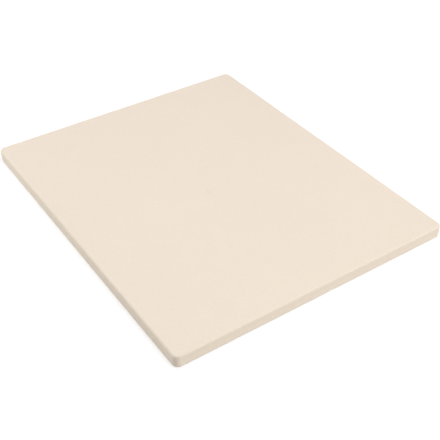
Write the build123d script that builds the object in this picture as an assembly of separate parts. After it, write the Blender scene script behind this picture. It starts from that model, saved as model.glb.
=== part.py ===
from build123d import *

import os

# A rectangular pizza stone: one slab of cordierite, pressed in a die and fired.
#
# The slab lies flat on its underside, on an oven's rack, and dough goes straight on to its top, the
# baking face. Seen from above it is a rectangle with small round corners, and its sides stand square
# to both faces. The rim of each face is eased, so that it doesn't chip against the rack. It is a
# single piece, with no feet, frame or handles.
#
# Millimetres, +Z up, +X along the long sides, origin at the middle of the underside.

# The slab, over all
SLAB_LENGTH = 425.0
SLAB_WIDTH = 350.0
SLAB_THICKNESS = 15.0

# The four upright corners
CORNER_RADIUS = 7.0

# The eased rim of each face
BAKING_FACE_RIM_RADIUS = 1.0
UNDERSIDE_RIM_RADIUS = 1.2


def stone_slab():
    """A plate with round corners, and a round along the rim of each of its two faces."""
    with BuildPart() as slab:
        with BuildSketch():
            RectangleRounded(SLAB_LENGTH, SLAB_WIDTH, CORNER_RADIUS)
        extrude(amount=SLAB_THICKNESS)
        baking_face = slab.faces().sort_by(Axis.Z).last
        fillet(baking_face.edges(), radius=BAKING_FACE_RIM_RADIUS)
        underside = slab.faces().sort_by(Axis.Z).first
        fillet(underside.edges(), radius=UNDERSIDE_RIM_RADIUS)
    return slab.part


os.makedirs("parts", exist_ok=True)
export_step(stone_slab(), "parts/stone_slab.step")
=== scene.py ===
import math
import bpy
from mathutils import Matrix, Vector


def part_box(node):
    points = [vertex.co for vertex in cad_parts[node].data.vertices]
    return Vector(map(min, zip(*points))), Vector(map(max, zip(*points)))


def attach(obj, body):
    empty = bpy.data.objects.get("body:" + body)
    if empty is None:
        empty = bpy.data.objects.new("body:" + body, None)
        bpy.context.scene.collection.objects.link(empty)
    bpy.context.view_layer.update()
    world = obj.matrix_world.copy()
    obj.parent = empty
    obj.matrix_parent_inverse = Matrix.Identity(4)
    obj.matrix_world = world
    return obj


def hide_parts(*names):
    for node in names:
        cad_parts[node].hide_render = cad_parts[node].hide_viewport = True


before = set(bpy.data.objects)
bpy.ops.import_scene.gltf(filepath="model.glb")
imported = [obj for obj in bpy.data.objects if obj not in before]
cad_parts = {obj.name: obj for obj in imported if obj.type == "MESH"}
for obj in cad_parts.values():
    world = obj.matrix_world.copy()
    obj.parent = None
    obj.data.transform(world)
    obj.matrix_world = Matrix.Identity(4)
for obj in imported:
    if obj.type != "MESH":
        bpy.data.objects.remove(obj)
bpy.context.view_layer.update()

from types import SimpleNamespace

import bpy
from mathutils import Matrix, Vector, noise

# The looks of a rectangular pizza stone: one slab of pale cordierite, pressed and fired, that lies
# on a plain pale floor. Lengths are in metres, +Z is up, +X runs along the long sides, and the
# origin is under the slab's middle. A share is a part of one, and colours are linear.

SLAB = "stone_slab"
low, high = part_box(SLAB)
LENGTH, WIDTH, THICKNESS = high - low

SIDES = 4
QUARTER_TURN = math.pi / 2

# The slab's rounds, as its solid has them
CORNER_RADIUS = 0.0070
TOP_RIM_RADIUS = 0.0010
LOWER_RIM_RADIUS = 0.0012

# How far the middle of a rim lies inside each of the two surfaces that it joins, over its radius
RIM_MIDDLE_INSET_SHARE = 1 - math.sqrt(0.5)

# How much wider than TOP_RIM_RADIUS the top rim is, by side from +X anticlockwise, and how unevenly
TOP_RIM_WIDENINGS = (0.0, 0.0002, 0.0001, 0.0010)
RIM_UNEVENNESS, RIM_CHANGE = 0.0003, 0.060

# The mesh: square cells over the two faces, and closer rings over the rims and the walls
CELL = 0.004
STEPS_PER_CELL = 4
CORNER_STEPS = 14
MARGIN_STEPS = 4
RIM_STEPS = 6
WALL_STEPS = 10

# The waves of the fired surface: how far inside the solid's each goes at most, and its size
FACE_WAVE_DEPTH, FACE_WAVE = 0.00012, 0.070
WALL_WAVE_DEPTH, WALL_WAVE = 0.00022, 0.045
RIM_WAVE_DEPTH, RIM_WAVE = 0.00016, 0.011

# Seeds, which set the mesh's noises apart: the top rim's width, the three waves and the wear
RIM_CHANGE_SEED = 5.3
FACE_SEED, WALL_SEED, RIM_SEED = 3.1, 7.7, 11.3
WEAR_SEED = 2.7

# Small chips out of the rims: share of the stations that lie before it, whether on the top rim,
# reach and depth
CHIPS = (
    (0.045, True, 0.0022, 0.00030),
    (0.118, False, 0.0034, 0.00042),
    (0.207, True, 0.0018, 0.00022),
    (0.281, False, 0.0026, 0.00034),
    (0.394, True, 0.0028, 0.00028),
    (0.463, False, 0.0038, 0.00045),
    (0.552, True, 0.0020, 0.00026),
    (0.618, False, 0.0024, 0.00030),
    (0.702, True, 0.0030, 0.00032),
    (0.779, False, 0.0030, 0.00038),
    (0.866, True, 0.0019, 0.00024),
    (0.934, False, 0.0032, 0.00036),
)

# The texture map, a square: the baking face and the four walls at full size, the underside smaller
MAP_SIDE = 0.520
MAP_GAP = 0.004
MAP_WALL_PITCH = 0.018
UNDERSIDE_MAP_SHARE = 0.44

# The part of a rim whose normal points up or down by more than this is mapped with its flat face
FLAT_MAP_NORMAL = 0.7

# The stone's colours
CREAM = (0.877, 0.774, 0.660)
WARM_CREAM = (0.872, 0.769, 0.645)
SAND = (0.800, 0.650, 0.480)
# Iron dots, and the painted shade of the pores, which darkens each pit towards this colour
IRON_AND_PORE_SHADE = (0.600, 0.470, 0.340)
PALE_GROG = (0.930, 0.880, 0.800)

# Slow to fast changes of tone: size of the pattern, its detail, and the share that it moves the tone
TONES = (
    (0.150, 1.0, 0.030),
    (0.024, 2.0, 0.014),
    (0.0030, 3.0, 0.024),
)

# The pressed granules, each paler, darker or sandier than the next
GRANULE = 0.00065
GRANULE_TONE_SHARE = 0.045
GRANULE_SAND_SHARE = 0.150
GRANULE_HEIGHT = 0.000040

# Grains and pores that show as dots: size of the cells that hold one each, widest radius, share of
# the cells left empty, and strength
IRON_DOTS = (0.0024, 0.00024, 0.35, 0.60)
PALE_DOTS = (0.0018, 0.00030, 0.30, 0.55)
# The pores' strength is how far painted shade darkens each pit, as though shadow lay in it
PORES_WITH_PAINTED_SHADE = (0.0013, 0.00019, 0.35, 0.60)
DOT_EDGE = 0.00007
PORE_DEPTH = 0.00009

# The sintered grain, under the finger
GRAIN_HEIGHT, GRAIN, GRAIN_DETAIL = 0.000050, 0.0012, 3.0
ROUGHNESS = 0.88
ROUGHNESS_SPREAD = 0.10
SPECULAR_LEVEL = 0.30

# Wear: patches on the crowns of the rims, and the chips, have lost granules and show fresh ones
WEAR_PATCH = 0.010
WEAR_TONE_SHARE = 0.050
WEAR_ROUGHNESS = 0.060
WEAR_DEPTH = 0.000080

# The lines that the die drew up the walls as the slab was pushed out
DRAG_LINE, DRAG_DETAIL = 0.0011, 2.0
DRAG_STRETCH = 14.0
DRAG_HEIGHT = 0.000035
DRAG_TONE_SHARE = 0.035

# The faint smudge near the middle of the baking face
SMUDGE_PLACE = (0.0142, -0.0059, THICKNESS)
SMUDGE_RADIUS, SMUDGE_DETAIL = 0.0075, 1.0
SMUDGE_STRENGTH = 0.027

# The camera, as fitted to the slab's outline in the photograph: degrees, and millimetres of film
CAMERA_AIM = Vector((0.0647, -0.0246, THICKNESS))
CAMERA_DISTANCE = 0.9210
CAMERA_AZIMUTH, CAMERA_ELEVATION, CAMERA_ROLL = 56.08, 38.66, 0.28
FILM_WIDTH, LENS = 36.0, 67.0

# The studio: softboxes as azimuth, elevation, distance, side and watts
SOFTBOXES = {
    "overhead": (120.0, 81.0, 1.6, 1.4, 16.4),
    "left": (315.0, 20.0, 1.4, 0.9, 7.4),
    "right": (120.0, 20.0, 2.2, 1.4, 18.4),
}
SKY_STRENGTH = 0.247
WHITE = (1.0, 1.0, 1.0)
WHITE_STRENGTH = 1.0
FLOOR_SIDE = 14.0
FLOOR_DROP = 0.0001
FLOOR_GREY = (0.80, 0.80, 0.80)

# The floor shows part paint, which takes the slab's shadow, and part light. Further from the slab's
# middle than the first of these distances it turns into plain white, which it is past the second.
FLOOR_WHITE_SHARE = 0.36
FLOOR_WHITE_STRENGTH = 1.60
FLOOR_WHITE_START, FLOOR_WHITE_END = 0.40, 0.90

# The mix node's sockets for colours, by number, because it repeats their names for each data type
MIX_FIRST, MIX_SECOND, MIX_RESULT = 6, 7, 2


def wave(place, size, seed):
    """Smooth noise from 0 to 1 at a place, with waves of about that size."""
    value = noise.noise(place / size + Vector((seed, seed, seed)))
    return min(max(0.5 + 0.5 * value, 0.0), 1.0)


def grid_corners():
    """The corners of the faces' cell grid, which ends a corner radius inside the slab's outline."""
    half_x, half_y = LENGTH / 2 - CORNER_RADIUS, WIDTH / 2 - CORNER_RADIUS
    return [Vector((x * half_x, y * half_y)) for x, y in ((1, -1), (1, 1), (-1, 1), (-1, -1))]


def cells_along(side):
    """How many cells a side of the slab has: sides 0 and 2 run along Y, and 1 and 3 along X."""
    corners = grid_corners()
    return round((corners[(side + 1) % SIDES] - corners[side]).length / CELL)


class Station:
    """A place on the edge of the cell grid: its foot there, the way out, and how far along its side."""

    def __init__(self, side, foot, turned, run):
        angle = side * QUARTER_TURN + turned
        self.side = side
        self.foot = foot
        self.way = Vector((math.cos(angle), math.sin(angle)))
        self.run = run
        here, after = TOP_RIM_WIDENINGS[side], TOP_RIM_WIDENINGS[(side + 1) % SIDES]
        uneven = RIM_UNEVENNESS * wave(Vector((*foot, 0.0)), RIM_CHANGE, RIM_CHANGE_SEED)
        self.rim_radius = TOP_RIM_RADIUS + here + (after - here) * turned / QUARTER_TURN + uneven

    def place(self, out, height):
        """The place that far out from the foot, at that height."""
        return Vector((*(self.foot + self.way * out), height))


def stations():
    """The stations anticlockwise. Along a side the foot moves. At its end the way out turns."""
    corners = grid_corners()
    found = []
    for side, start in enumerate(corners):
        end = corners[(side + 1) % SIDES]
        length = (end - start).length
        steps = cells_along(side) * STEPS_PER_CELL
        for step in range(steps):
            share = step / steps
            found.append(Station(side, start.lerp(end, share), 0.0, length * share))
        for step in range(CORNER_STEPS):
            turned = step / CORNER_STEPS * QUARTER_TURN
            found.append(Station(side, end, turned, length + CORNER_RADIUS * turned))
    return found


def profile(top_radius):
    """The slab's section from top to underside, as (distance out, height, normal out, normal up)."""
    points = []

    def margin(flat, height, up, steps):
        for step in steps:
            points.append((flat * step / MARGIN_STEPS, height, 0.0, up))

    def rim(radius, middle_height, start):
        flat = CORNER_RADIUS - radius
        for step in range(RIM_STEPS + 1):
            angle = start - step / RIM_STEPS * QUARTER_TURN
            out, up = math.cos(angle), math.sin(angle)
            points.append((flat + radius * out, middle_height + radius * up, out, up))

    top_middle = THICKNESS - top_radius
    margin(CORNER_RADIUS - top_radius, THICKNESS, 1.0, range(1, MARGIN_STEPS))
    rim(top_radius, top_middle, QUARTER_TURN)
    for step in range(1, WALL_STEPS):
        height = top_middle + (LOWER_RIM_RADIUS - top_middle) * step / WALL_STEPS
        points.append((CORNER_RADIUS, height, 1.0, 0.0))
    rim(LOWER_RIM_RADIUS, LOWER_RIM_RADIUS, 0.0)
    margin(CORNER_RADIUS - LOWER_RIM_RADIUS, 0.0, -1.0, range(MARGIN_STEPS - 1, 0, -1))
    return points


class SlabMesh:
    """The slab's closed mesh as it is put together, with each face's place on the texture map."""

    def __init__(self):
        self.stations = stations()
        self.chips = self.chip_places()
        self.solid = []
        self.fired = []
        self.worn = []
        self.faces = []
        self.mapped = []
        self.make()

    def chip_places(self):
        """Each chip's middle, on its rim, with its reach and depth."""
        places = []
        for share, on_top, reach, depth in CHIPS:
            station = self.stations[int(share * len(self.stations))]
            radius = station.rim_radius if on_top else LOWER_RIM_RADIUS
            inset = radius * RIM_MIDDLE_INSET_SHARE
            height = THICKNESS - inset if on_top else inset
            places.append((station.place(CORNER_RADIUS - inset, height), reach, depth))
        return places

    def depth_and_wear(self, place, out, up):
        """How far the fired surface lies inside the solid's, and how worn it is, from 0 to 1."""
        flat = abs(up)
        # 1 at the middle of a rim, and 0 on the faces and the walls
        crown = 2 * out * flat
        depth = flat * FACE_WAVE_DEPTH * wave(place, FACE_WAVE, FACE_SEED)
        depth += out * WALL_WAVE_DEPTH * wave(place, WALL_WAVE, WALL_SEED)
        depth += crown * RIM_WAVE_DEPTH * wave(place, RIM_WAVE, RIM_SEED)
        wear = crown * wave(place, WEAR_PATCH, WEAR_SEED)
        if out:
            for middle, reach, chip_depth in self.chips:
                share = (place - middle).length / reach
                if share < 1:
                    broken = (1 - share * share) ** 2
                    depth += chip_depth * broken
                    wear = max(wear, broken)
        return depth, wear

    def point(self, place, way, out, up):
        """Adds the fired surface's point for a place on the solid's. Returns its number."""
        normal = Vector((*(way * out), up))
        depth, wear = self.depth_and_wear(place, out, up)
        self.solid.append(place)
        self.fired.append(place - normal * depth)
        self.worn.append(wear)
        return len(self.fired) - 1

    def face(self, corners, map_places):
        """Adds a face, with its corners' places on the map in metres."""
        self.faces.append(corners)
        self.mapped.extend((x / MAP_SIDE, y / MAP_SIDE) for x, y in map_places)

    def flat_face(self, corners, up):
        """A face of the top or the underside, whose corners are given anticlockwise from above."""
        share = 1.0 if up > 0 else UNDERSIDE_MAP_SHARE
        bottom = MAP_GAP if up > 0 else WIDTH + 2 * MAP_GAP
        if up < 0:
            corners = corners[::-1]
        places = [
            (
                MAP_GAP + share * (self.solid[corner].x + LENGTH / 2),
                bottom + share * (self.solid[corner].y + WIDTH / 2),
            )
            for corner in corners
        ]
        self.face(corners, places)

    def grid(self, height, up):
        """One face's square cells. Returns the points on the grid's edge, in the stations' order."""
        _, highest, _, lowest = grid_corners()
        across, along = cells_along(1), cells_along(0)
        rows = []
        for j in range(along + 1):
            y = lowest.y + (highest.y - lowest.y) * j / along
            row = []
            for i in range(across + 1):
                x = lowest.x + (highest.x - lowest.x) * i / across
                row.append(self.point(Vector((x, y, height)), Vector((0, 0)), 0.0, up))
            rows.append(row)
        for j in range(along):
            for i in range(across):
                cell = [rows[j][i], rows[j][i + 1], rows[j + 1][i + 1], rows[j + 1][i]]
                self.flat_face(cell, up)
        right, left = [row[-1] for row in rows], [row[0] for row in rows]
        return right[:-1] + rows[-1][:0:-1] + left[:0:-1] + rows[0][:-1]

    def join_grid(self, edge, ring, up):
        """The faces between a grid's edge and the ring round it: fans from the edge's points."""
        count = len(ring)
        at = 0
        step_on = 0
        for side in range(SIDES):
            for _ in range(cells_along(side)):
                here, after = edge[at], edge[(at + 1) % len(edge)]
                half = step_on + STEPS_PER_CELL // 2
                for step in range(step_on, step_on + STEPS_PER_CELL):
                    apex = here if step < half else after
                    self.flat_face([apex, ring[step], ring[(step + 1) % count]], up)
                self.flat_face([here, ring[half], after], up)
                at += 1
                step_on += STEPS_PER_CELL
            corner = edge[at % len(edge)]
            for step in range(step_on, step_on + CORNER_STEPS):
                self.flat_face([corner, ring[step], ring[(step + 1) % count]], up)
            step_on += CORNER_STEPS

    def wall_face(self, corners, here, after, from_top):
        """A face of a wall, on the map strip of its side: up the strip by run, across it by depth."""
        left = LENGTH + 2 * MAP_GAP + here.side * MAP_WALL_PITCH
        corner_step = CORNER_RADIUS * QUARTER_TURN / CORNER_STEPS
        end = after.run if after.side == here.side else here.run + corner_step
        runs = (here.run, here.run, end, end)
        downs = (from_top[0], from_top[1], from_top[1], from_top[0])
        self.face(corners, [(left + down, MAP_GAP + run) for down, run in zip(downs, runs)])

    def bands(self, rings):
        """The faces between each ring and the next one down, mapped as the solid's own section is."""
        section = profile(TOP_RIM_RADIUS)
        count = len(self.stations)
        depth = 0.0
        for (out, height, _, up), (next_out, next_height, _, next_up), ring, next_ring in zip(
            section, section[1:], rings, rings[1:]
        ):
            flat_up = up if min(abs(up), abs(next_up)) > FLAT_MAP_NORMAL else 0.0
            next_depth = depth + (0.0 if flat_up else math.hypot(next_out - out, next_height - height))
            for i in range(count):
                j = (i + 1) % count
                corners = [ring[i], next_ring[i], next_ring[j], ring[j]]
                if flat_up > 0:
                    self.flat_face(corners, flat_up)
                elif flat_up < 0:
                    self.flat_face(corners[::-1], flat_up)
                else:
                    self.wall_face(corners, self.stations[i], self.stations[j], (depth, next_depth))
            depth = next_depth

    def make(self):
        """The two faces' grids, the rings from one to the other, and the faces that join them."""
        top_edge = self.grid(THICKNESS, 1.0)
        lower_edge = self.grid(0.0, -1.0)
        rings = []
        for level in zip(*(profile(station.rim_radius) for station in self.stations)):
            ring = []
            for station, (out, height, normal_out, normal_up) in zip(self.stations, level):
                ring.append(self.point(station.place(out, height), station.way, normal_out, normal_up))
            rings.append(ring)
        self.join_grid(top_edge, rings[0], 1.0)
        self.join_grid(lower_edge, rings[-1], -1.0)
        self.bands(rings)


def make_slab():
    """The stone as one closed piece, with its own texture map."""
    built = SlabMesh()
    mesh = bpy.data.meshes.new("baking_stone")
    mesh.from_pydata(built.fired, [], built.faces)
    layer = mesh.uv_layers.new(name="OFBake")
    for corner, place in zip(layer.uv, built.mapped):
        corner.vector = place
    mesh.attributes.new("wear", "FLOAT", "POINT").data.foreach_set("value", built.worn)
    mesh.shade_smooth()
    mesh.validate()
    piece = bpy.data.objects.new("baking_stone", mesh)
    bpy.context.scene.collection.objects.link(piece)
    mesh.materials.append(cordierite())
    return piece


class Graph:
    """A material's or a world's nodes, with short calls for the sums that a pattern needs."""

    def __init__(self, owner):
        owner.use_nodes = True
        self.tree = owner.node_tree
        self.tree.nodes.clear()

    def node(self, kind, inputs=(), **settings):
        """A new node. inputs is pairs of a socket's name or number and its value or source."""
        made = self.tree.nodes.new(kind)
        for name, value in settings.items():
            setattr(made, name, value)
        for key, value in inputs:
            if isinstance(value, bpy.types.NodeSocket):
                self.tree.links.new(value, made.inputs[key])
            else:
                made.inputs[key].default_value = value
        return made

    def math(self, operation, *values, clamp=False):
        """The outcome of one math node."""
        node = self.node("ShaderNodeMath", enumerate(values), operation=operation, use_clamp=clamp)
        return node.outputs[0]

    def place(self):
        """The place on the piece, in metres."""
        return self.node("ShaderNodeTexCoord").outputs["Object"]

    def noise(self, place, size, detail):
        """Noise from 0 to 1, about 0.5 at its middle."""
        inputs = (("Vector", place), ("Scale", 1 / size), ("Detail", detail))
        return self.node("ShaderNodeTexNoise", inputs).outputs["Fac"]

    def swing(self, value, share):
        """A value from 0 to 1 as a change of minus to plus half the share."""
        return self.math("MULTIPLY", self.math("SUBTRACT", value, 0.5), share)

    def ramp(self, value, start, end, first, last, kind="LINEAR"):
        """Goes from first to last as the value goes from start to end, and stays there."""
        inputs = enumerate((value, start, end, first, last))
        return self.node("ShaderNodeMapRange", inputs, interpolation_type=kind).outputs[0]

    def dots(self, place, cell, radius, empty_share):
        """1 inside round dots of up to that radius, one to a cell, with some cells left empty."""
        inputs = (("Vector", place), ("Scale", 1 / cell), ("Randomness", 1.0))
        cells = self.node("ShaderNodeTexVoronoi", inputs)
        distance = self.math("MULTIPLY", cells.outputs["Distance"], cell)
        pick = self.node("ShaderNodeSeparateColor", (("Color", cells.outputs["Color"]),)).outputs[0]
        own_radius = self.ramp(pick, empty_share, 1.0, 0.0, radius)
        inside = self.math("SUBTRACT", own_radius, distance)
        return self.math("DIVIDE", inside, DOT_EDGE, clamp=True)

    def blend(self, share, first, second):
        """The first colour where the share is 0, and the second where it is 1."""
        inputs = ((0, share), (MIX_FIRST, first), (MIX_SECOND, second))
        return self.node("ShaderNodeMix", inputs, data_type="RGBA").outputs[MIX_RESULT]


def opaque(colour):
    """A colour with full alpha, as a colour socket takes it."""
    return (*colour, 1.0)


def cordierite():
    """Matte cream ceramic: pressed granules, iron dots, pores, drag lines, and wear on the rims."""
    material = bpy.data.materials.new("cordierite")
    graph = Graph(material)
    patterns = stone_patterns(graph)
    surface = graph.node(
        "ShaderNodeBsdfPrincipled",
        (
            ("Base Color", stone_colour(graph, patterns)),
            ("Roughness", stone_roughness(graph, patterns)),
            ("Normal", stone_relief(graph, patterns)),
            ("Specular IOR Level", SPECULAR_LEVEL),
        ),
    )
    graph.node("ShaderNodeOutputMaterial", (("Surface", surface.outputs[0]),))
    return material


def stone_patterns(graph):
    """The place, and the patterns from 0 to about 1 that colour, relief and roughness share."""
    place = graph.place()
    granules = graph.node("ShaderNodeTexVoronoi", (("Vector", place), ("Scale", 1 / GRANULE)))
    picks = graph.node("ShaderNodeSeparateColor", ((0, granules.outputs["Color"]),))
    tone_pick, sand_pick, loss_pick = picks.outputs
    wear = graph.node("ShaderNodeAttribute", attribute_name="wear").outputs["Fac"]
    *pore_shape, _ = PORES_WITH_PAINTED_SHADE
    return SimpleNamespace(
        place=place,
        wall=wall_share(graph),
        lines=drag_lines(graph, place),
        grain=graph.noise(place, GRAIN, GRAIN_DETAIL),
        pores=graph.dots(place, *pore_shape),
        granule_slope=granules.outputs["Distance"],
        tone_pick=tone_pick,
        sand_pick=sand_pick,
        lost=graph.math("MULTIPLY", wear, loss_pick),
    )


def wall_share(graph):
    """1 on the upright walls and 0 on the two flat faces."""
    normal = graph.node("ShaderNodeTexCoord").outputs["Normal"]
    up = graph.node("ShaderNodeSeparateXYZ", ((0, normal),)).outputs["Z"]
    return graph.math("SUBTRACT", 1.0, graph.math("ABSOLUTE", up), clamp=True)


def drag_lines(graph, place):
    """Noise drawn out up the walls."""
    stretch = ((0, place), (1, (1, 1, 1 / DRAG_STRETCH)))
    stretched = graph.node("ShaderNodeVectorMath", stretch, operation="MULTIPLY").outputs[0]
    return graph.noise(stretched, DRAG_LINE, DRAG_DETAIL)


def stone_tone(graph, patterns):
    """What the stone's colour is multiplied by, about 1."""
    changes = []
    for size, detail, share in TONES:
        changes.append(graph.swing(graph.noise(patterns.place, size, detail), share))
    changes.append(graph.swing(patterns.tone_pick, GRANULE_TONE_SHARE))
    changes.append(graph.math("MULTIPLY", graph.swing(patterns.lines, DRAG_TONE_SHARE), patterns.wall))
    changes.append(graph.math("MULTIPLY", patterns.lost, WEAR_TONE_SHARE))
    tone = graph.math("SUBTRACT", 1.0, smudge(graph, patterns.place))
    for change in changes:
        tone = graph.math("ADD", tone, change)
    return tone


def stone_colour(graph, patterns):
    """Cream with sandier granules and small dots of iron, pale grog and painted shade in the pores."""
    colour = graph.blend(patterns.wall, opaque(CREAM), opaque(WARM_CREAM))
    sandiness = graph.math("MULTIPLY", patterns.sand_pick, GRANULE_SAND_SHARE)
    colour = graph.blend(sandiness, colour, opaque(SAND))
    # The pores' dots are painted shade: each pit is darkened towards the iron colour, as its shadow
    # would be
    for pattern, dot_colour in ((IRON_DOTS, IRON_AND_PORE_SHADE), (PALE_DOTS, PALE_GROG), (PORES_WITH_PAINTED_SHADE, IRON_AND_PORE_SHADE)):
        *shape, strength = pattern
        mask = patterns.pores if pattern is PORES_WITH_PAINTED_SHADE else graph.dots(patterns.place, *shape)
        colour = graph.blend(graph.math("MULTIPLY", mask, strength), colour, opaque(dot_colour))
    inputs = ((0, colour), ("Scale", stone_tone(graph, patterns)))
    return graph.node("ShaderNodeVectorMath", inputs, operation="SCALE").outputs[0]


def stone_roughness(graph, patterns):
    """Matte, a little uneven, and rougher where granules are lost."""
    uneven = graph.math("ADD", graph.swing(patterns.grain, ROUGHNESS_SPREAD), ROUGHNESS)
    return graph.math("ADD", uneven, graph.math("MULTIPLY", patterns.lost, WEAR_ROUGHNESS), clamp=True)


def stone_relief(graph, patterns):
    """The surface's normal over its grain, granules, pores, drag lines and lost granules."""
    height = graph.math("MULTIPLY", patterns.grain, GRAIN_HEIGHT)
    for pattern, depth in (
        (patterns.granule_slope, GRANULE_HEIGHT),
        (patterns.pores, PORE_DEPTH),
        (patterns.lost, WEAR_DEPTH),
    ):
        height = graph.math("SUBTRACT", height, graph.math("MULTIPLY", pattern, depth))
    lines = graph.math("MULTIPLY", graph.math("MULTIPLY", patterns.lines, DRAG_HEIGHT), patterns.wall)
    height = graph.math("ADD", height, lines)
    # At these values the relief is as high as its metres say
    inputs = (("Strength", 1.0), ("Distance", 1.0), ("Height", height))
    return graph.node("ShaderNodeBump", inputs).outputs[0]


def smudge(graph, place):
    """How much darker the faint smudge near the middle makes the stone."""
    inputs = ((0, place), (1, SMUDGE_PLACE))
    distance = graph.node("ShaderNodeVectorMath", inputs, operation="DISTANCE").outputs["Value"]
    ragged = graph.swing(graph.noise(place, SMUDGE_RADIUS, SMUDGE_DETAIL), SMUDGE_RADIUS)
    uneven = graph.math("ADD", distance, ragged)
    return graph.ramp(uneven, SMUDGE_RADIUS, 0.0, 0.0, SMUDGE_STRENGTH, "SMOOTHSTEP")


def seen_directly(graph):
    """1 for rays that show the background: from the camera, a reflection or through glass."""
    path = graph.node("ShaderNodeLightPath")
    seen = graph.math("ADD", path.outputs["Is Camera Ray"], path.outputs["Is Glossy Ray"], clamp=True)
    return graph.math("ADD", seen, path.outputs["Is Transmission Ray"], clamp=True)


def make_floor():
    """A plain pale floor, which shows as white and keeps the slab's shadow."""
    half = FLOOR_SIDE / 2
    mesh = bpy.data.meshes.new("floor")
    corners = [(x * half, y * half, -FLOOR_DROP) for x, y in ((-1, -1), (1, -1), (1, 1), (-1, 1))]
    mesh.from_pydata(corners, [], [(0, 1, 2, 3)])
    floor = bpy.data.objects.new("floor", mesh)
    bpy.context.scene.collection.objects.link(floor)

    material = bpy.data.materials.new("floor")
    graph = Graph(material)
    length = graph.node("ShaderNodeVectorMath", ((0, graph.place()),), operation="LENGTH")
    from_middle = length.outputs["Value"]
    far = graph.ramp(from_middle, FLOOR_WHITE_START, FLOOR_WHITE_END, 0.0, 1.0, "SMOOTHSTEP")
    paint = graph.node("ShaderNodeBsdfDiffuse", (("Color", opaque(FLOOR_GREY)),))
    strength = graph.ramp(far, 0.0, 1.0, FLOOR_WHITE_STRENGTH, WHITE_STRENGTH)
    white = graph.node("ShaderNodeEmission", (("Strength", strength),))
    seen = seen_directly(graph)
    share = graph.math("MULTIPLY", seen, graph.ramp(far, 0.0, 1.0, FLOOR_WHITE_SHARE, 1.0))
    inputs = enumerate((share, paint.outputs[0], white.outputs[0]))
    mix = graph.node("ShaderNodeMixShader", inputs)
    graph.node("ShaderNodeOutputMaterial", (("Surface", mix.outputs[0]),))
    mesh.materials.append(material)


def make_sky():
    """An even soft light from all round, white where it is seen."""
    world = bpy.data.worlds.new("studio")
    graph = Graph(world)
    strength = graph.ramp(seen_directly(graph), 0.0, 1.0, SKY_STRENGTH, WHITE_STRENGTH)
    sky = graph.node("ShaderNodeBackground", (("Color", opaque(WHITE)), ("Strength", strength)))
    graph.node("ShaderNodeOutputWorld", (("Surface", sky.outputs[0]),))
    bpy.context.scene.world = world


def away(azimuth, elevation):
    """The way from the object to something at that azimuth and elevation, in degrees."""
    turn, rise = math.radians(azimuth), math.radians(elevation)
    flat = math.cos(rise)
    return Vector((math.sin(turn) * flat, -math.cos(turn) * flat, math.sin(rise)))


def make_softboxes():
    """Square lamps that face the slab, and that the camera doesn't see."""
    for name, (azimuth, elevation, distance, side, watts) in SOFTBOXES.items():
        lamp = bpy.data.lights.new(name, "AREA")
        lamp.size = side
        lamp.energy = watts
        box = bpy.data.objects.new(name, lamp)
        way = away(azimuth, elevation)
        box.location = way * distance
        box.rotation_euler = way.to_track_quat("Z", "Y").to_euler()
        box.visible_camera = False
        bpy.context.scene.collection.objects.link(box)


def make_camera():
    """The camera at the photograph's viewing angle."""
    data = bpy.data.cameras.new("camera")
    data.sensor_width = FILM_WIDTH
    data.lens = LENS
    camera = bpy.data.objects.new("camera", data)
    place = CAMERA_AIM + away(CAMERA_AZIMUTH, CAMERA_ELEVATION) * CAMERA_DISTANCE
    turn = Matrix.Rotation(math.radians(CAMERA_AZIMUTH), 4, "Z")
    tip = Matrix.Rotation(math.radians(90 - CAMERA_ELEVATION), 4, "X")
    roll = Matrix.Rotation(math.radians(-CAMERA_ROLL), 4, "Z")
    camera.matrix_world = Matrix.Translation(place) @ turn @ tip @ roll
    bpy.context.scene.collection.objects.link(camera)
    bpy.context.scene.camera = camera


bpy.context.scene.view_settings.view_transform = "Standard"
make_camera()
make_sky()
make_softboxes()
make_floor()
stone = make_slab()
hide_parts(SLAB)
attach(stone, "root")
